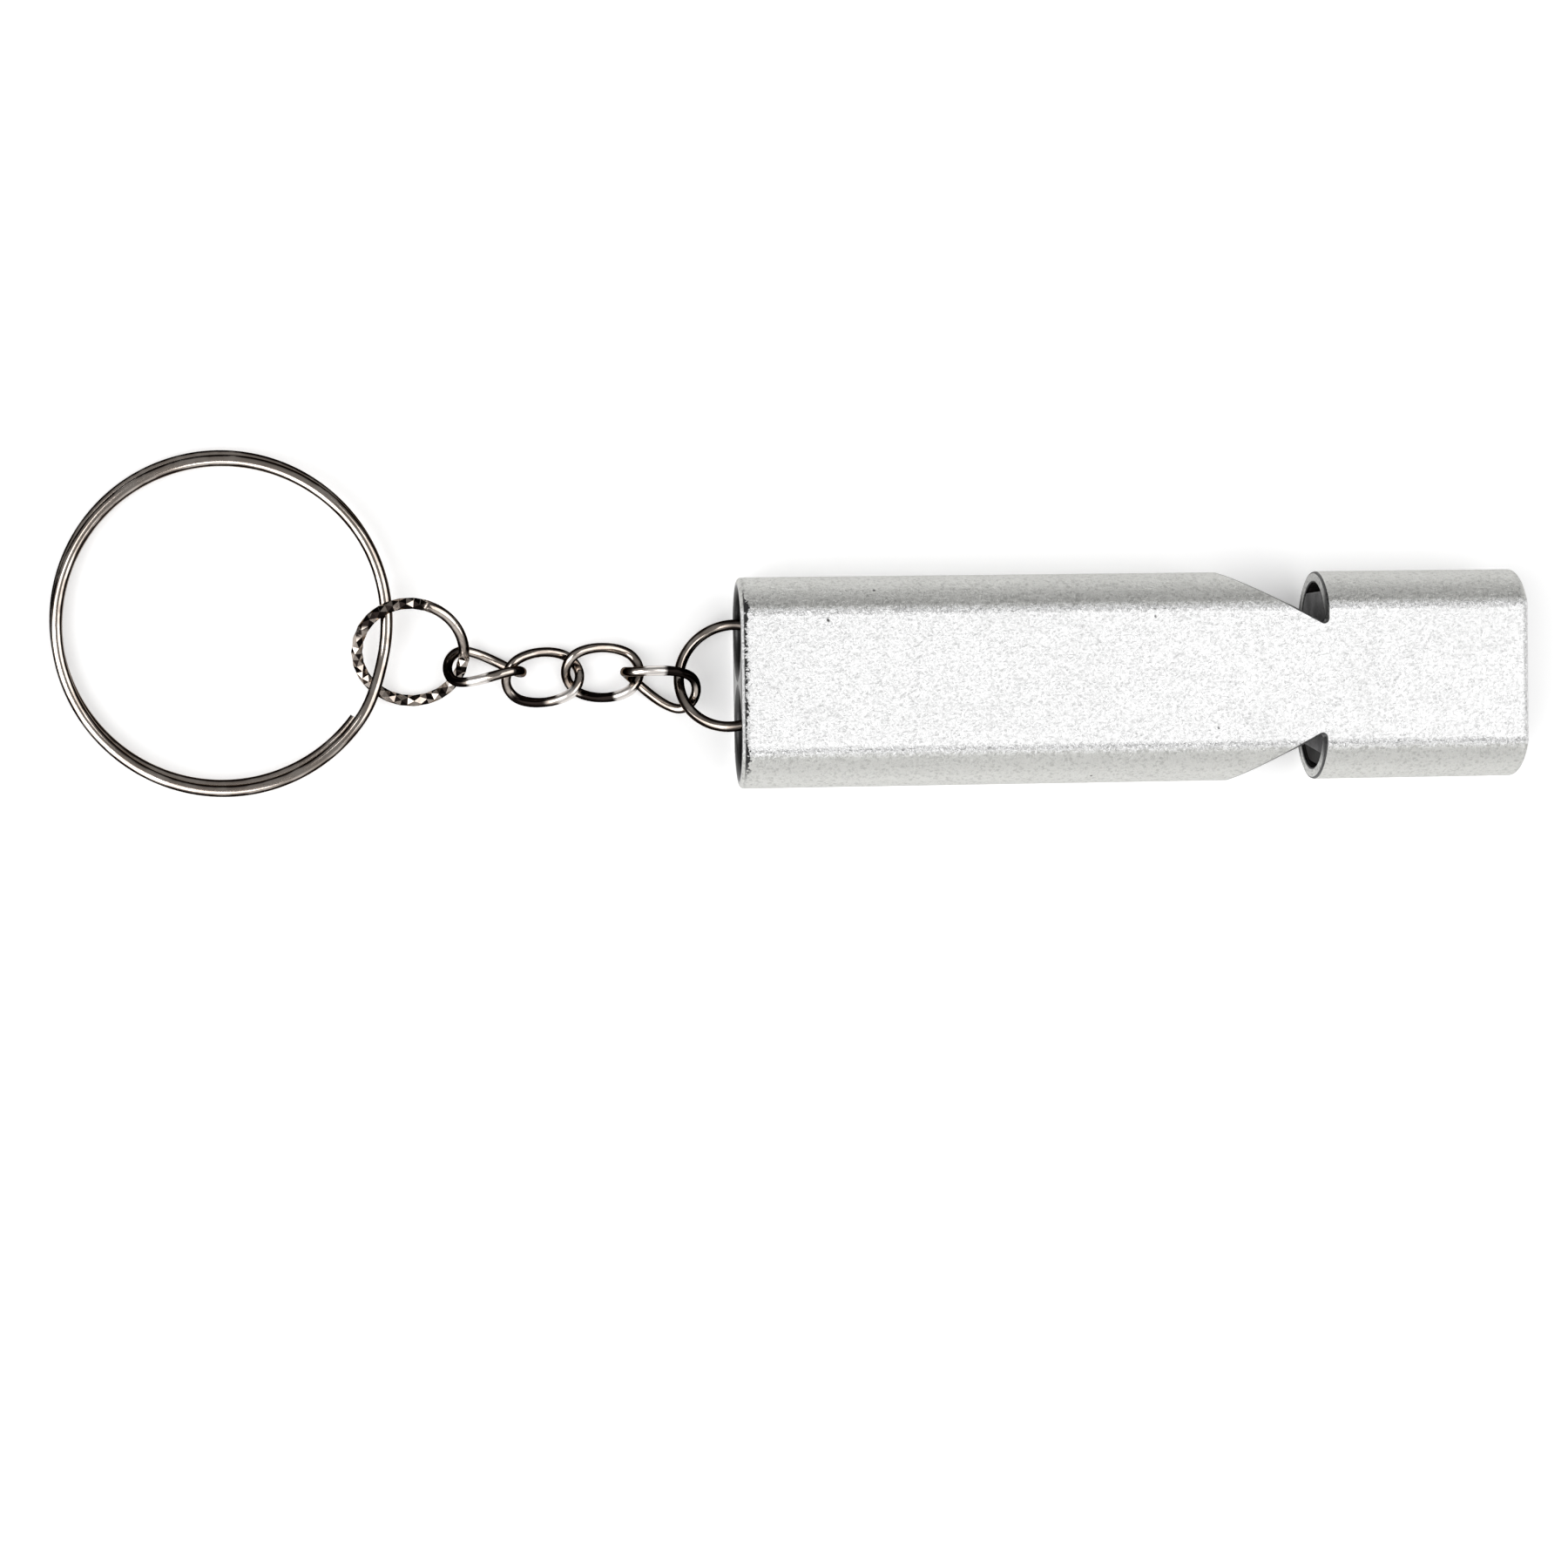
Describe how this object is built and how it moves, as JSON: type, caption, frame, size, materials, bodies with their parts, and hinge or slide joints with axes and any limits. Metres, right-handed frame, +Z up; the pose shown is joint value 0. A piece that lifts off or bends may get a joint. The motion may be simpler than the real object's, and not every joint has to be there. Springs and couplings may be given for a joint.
{
  "type": "whistle",
  "caption": "Flat double-tube aluminium whistle with a voice notch on each narrow side, on a jump ring, curb chain links, a patterned jump ring and a split key ring.",
  "frame": {"origin": "middle of the whistle body's lower flat side, on the surface that it lies on", "axes": "+X along the body from the tail, where the chain hangs, to the mouthpiece; +Y to the left narrow side; +Z up, out of the upper flat side"},
  "size_m": [0.1078, 0.0252, 0.0081],
  "materials": {
    "blasted_aluminium": "sand-blasted and clear anodised, satin, with darker cut edges",
    "dark_plastic": "plain dark moulded plastic",
    "nickel_plate": "bright nickel plate on steel wire, slightly warm"
  },
  "bodies": {
    "whistle": {"whistle_body": "blasted_aluminium", "left_fipple_block": "dark_plastic", "right_fipple_block": "dark_plastic", "left_tube_stopper": "dark_plastic", "right_tube_stopper": "dark_plastic"},
    "tail_ring": {"tail_ring": "nickel_plate"},
    "chain_link_1": {"chain_link_1": "nickel_plate"},
    "chain_link_2": {"chain_link_2": "nickel_plate"},
    "chain_link_3": {"chain_link_3": "nickel_plate"},
    "chain_link_4": {"chain_link_4": "nickel_plate"},
    "patterned_ring": {"patterned_ring": "nickel_plate"},
    "split_ring": {"split_ring": "nickel_plate"}
  },
  "joints": [
    {"name": "tail_ring_swing", "type": "hinge", "parent": "whistle", "child": "tail_ring", "pos_m": [-0.026, 0, 0.00405], "axis": [0, 1, 0], "range_deg": [-3, 42]},
    {"name": "chain_link_1_swing", "type": "hinge", "parent": "tail_ring", "child": "chain_link_1", "pos_m": [-0.03304, -0.0006, 0.00221], "axis": [-0.2279, 0.8954, -0.3824], "range_deg": [-40, 50]},
    {"name": "chain_link_2_swing", "type": "hinge", "parent": "chain_link_1", "child": "chain_link_2", "pos_m": [-0.0368, 0.00084, 0.00108], "axis": [-0.5292, 0.223, 0.8187], "range_deg": [-60, 45]},
    {"name": "chain_link_3_swing", "type": "hinge", "parent": "chain_link_2", "child": "chain_link_3", "pos_m": [-0.04142, 0.00097, 0.0009], "axis": [-0.0462, 0.848, 0.5279], "range_deg": [-40, 40]},
    {"name": "chain_link_4_swing", "type": "hinge", "parent": "chain_link_3", "child": "chain_link_4", "pos_m": [-0.04543, 0.00146, 0.00205], "axis": [0.6041, 0.7167, 0.3484], "range_deg": [-90, 40]},
    {"name": "patterned_ring_swing", "type": "hinge", "parent": "chain_link_4", "child": "patterned_ring", "pos_m": [-0.04975, 0.00229, 0.00144], "axis": [0.5407, 0.716, -0.4416], "range_deg": [-40, 60]},
    {"name": "split_ring_swing", "type": "hinge", "parent": "patterned_ring", "child": "split_ring", "pos_m": [-0.0545, 0.00263, 0.00211], "axis": [0.1907, 0.9816, 0.0046], "range_deg": [-90, 90]}
  ]
}
